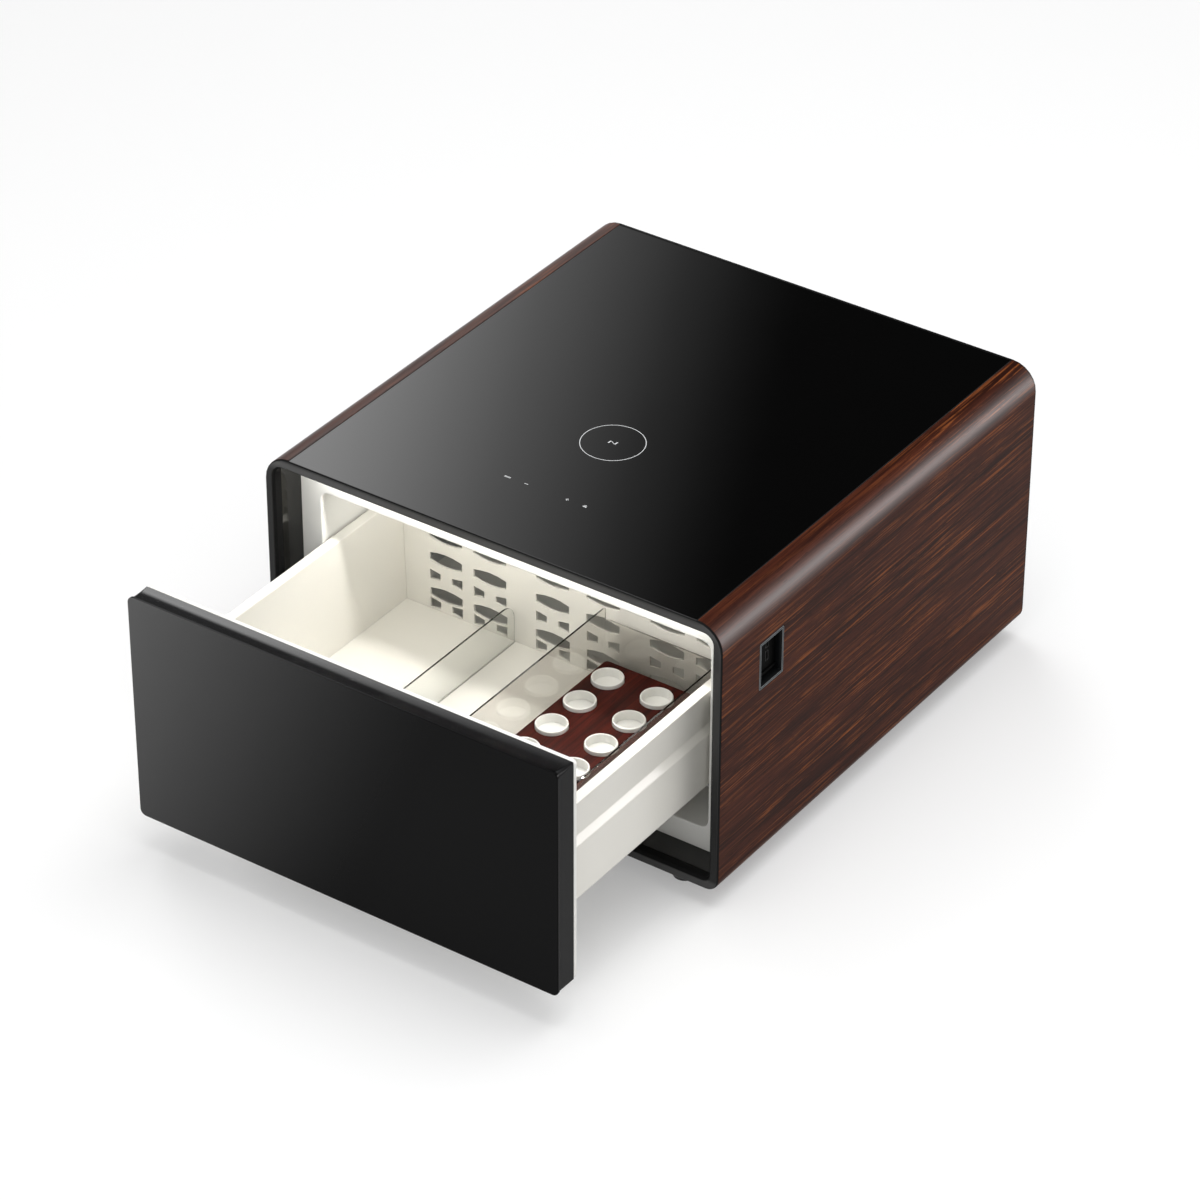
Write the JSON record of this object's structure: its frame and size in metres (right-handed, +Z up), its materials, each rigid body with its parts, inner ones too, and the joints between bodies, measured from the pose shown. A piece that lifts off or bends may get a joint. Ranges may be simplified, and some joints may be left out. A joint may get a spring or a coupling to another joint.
{
  "type": "refrigerator coffee table",
  "caption": "Low wood-wrapped cabinet with a black glass top, a charging spot and touch keys, and one cooled glass-fronted drawer on full-extension runners.",
  "frame": {"origin": "centre of the bounding box's base, on the floor, with the drawer at its rest pose (pulled out 285.7 mm)", "axes": "+Z up, +Y from the drawer to the back of the cabinet, +X to the right of a person facing the drawer's front"},
  "size_m": [0.65, 0.9786, 0.395],
  "materials": {
    "wood_wrap": "dark rosewood veneer under satin lacquer",
    "black_glass": "polished, backed in black",
    "dark_frame": "dark grey satin",
    "gloss_black": "gloss",
    "matte_black": "fine matte",
    "bay_steel": "black enamel",
    "white_shell": "smooth white moulding",
    "warm_white": "warm white moulding",
    "light": "white diffuser",
    "clear_plastic": "clear, slightly smoky",
    "dark_board": "dark red-brown, satin",
    "seal": "soft magnetic seal",
    "zinc_steel": "zinc-plated",
    "fin_aluminium": "mill",
    "copper": "bare copper",
    "foam": "rigid foam",
    "circuit": "circuit board",
    "port_grey": "satin grey"
  },
  "bodies": {
    "cabinet": {"side_wrap_left": "wood_wrap", "side_wrap_right": "wood_wrap", "front_bezel": "dark_frame", "rear_frame": "dark_frame", "top_glass": "black_glass", "top_deck": "matte_black", "charging_coil": "copper", "touch_board": "circuit", "base_board": "matte_black", "foot_front_left": "matte_black", "foot_front_right": "matte_black", "foot_rear_left": "matte_black", "foot_rear_right": "matte_black", "throat_collar": "gloss_black", "light_strip": "light", "inner_liner": "white_shell", "insulation": "foam", "port_frame": "port_grey", "port_sockets": "matte_black", "air_duct_cover": "white_shell", "evaporator": "fin_aluminium", "compressor": "bay_steel", "condenser": "fin_aluminium", "refrigerant_pipe": "copper", "fan_frame": "matte_black", "control_box": "matte_black", "drip_tray": "matte_black", "rear_cover": "matte_black", "cover_screw_1": "zinc_steel", "cover_screw_2": "zinc_steel", "cover_screw_3": "zinc_steel", "cover_screw_4": "zinc_steel", "power_inlet": "matte_black", "runner_cabinet_left": "zinc_steel", "runner_cabinet_right": "zinc_steel"},
    "drawer": {"drawer_glass": "black_glass", "drawer_frame": "dark_frame", "drawer_core": "foam", "drawer_liner": "white_shell", "drawer_seal": "seal", "runner_drawer_left": "zinc_steel", "runner_drawer_right": "zinc_steel", "basket_side_left": "warm_white", "basket_side_right": "warm_white", "basket_floor": "warm_white", "basket_back": "warm_white"},
    "middle_runner_left": {"runner_middle_left": "zinc_steel"},
    "middle_runner_right": {"runner_middle_right": "zinc_steel"},
    "fan": {"fan_rotor": "matte_black"},
    "divider": {"bottle_divider": "clear_plastic"},
    "tray": {"fruit_tray": "clear_plastic"},
    "fruit_insert": {"cup_plate": "white_shell", "tray_board": "dark_board"}
  },
  "joints": [
    {"name": "drawer_slide", "type": "slide", "parent": "cabinet", "child": "drawer", "axis": [0, -1, 0], "range_m": [-0.2857, 0.11]},
    {"name": "middle_slide_left", "type": "slide", "parent": "cabinet", "child": "middle_runner_left", "axis": [0, -1, 0], "range_m": [-0.14285, 0.055]},
    {"name": "middle_slide_right", "type": "slide", "parent": "cabinet", "child": "middle_runner_right", "axis": [0, -1, 0], "range_m": [-0.14285, 0.055]},
    {"name": "fan_spin", "type": "hinge", "parent": "cabinet", "child": "fan", "pos_m": [0.06, 0.44885, 0.0803], "axis": [0, 1, 0], "continuous": true},
    {"name": "divider_lift", "type": "slide", "parent": "drawer", "child": "divider", "axis": [0, 0, 1], "range_m": [0, 0.1]},
    {"name": "tray_lift", "type": "slide", "parent": "drawer", "child": "tray", "axis": [0, 0, 1], "range_m": [0, 0.1]},
    {"name": "insert_lift", "type": "slide", "parent": "tray", "child": "fruit_insert", "axis": [0, 0, 1], "range_m": [0, 0.05]}
  ],
  "couplings": [
    {"joint": "middle_slide_left", "follows": "drawer_slide", "ratio": 0.5},
    {"joint": "middle_slide_right", "follows": "drawer_slide", "ratio": 0.5}
  ]
}
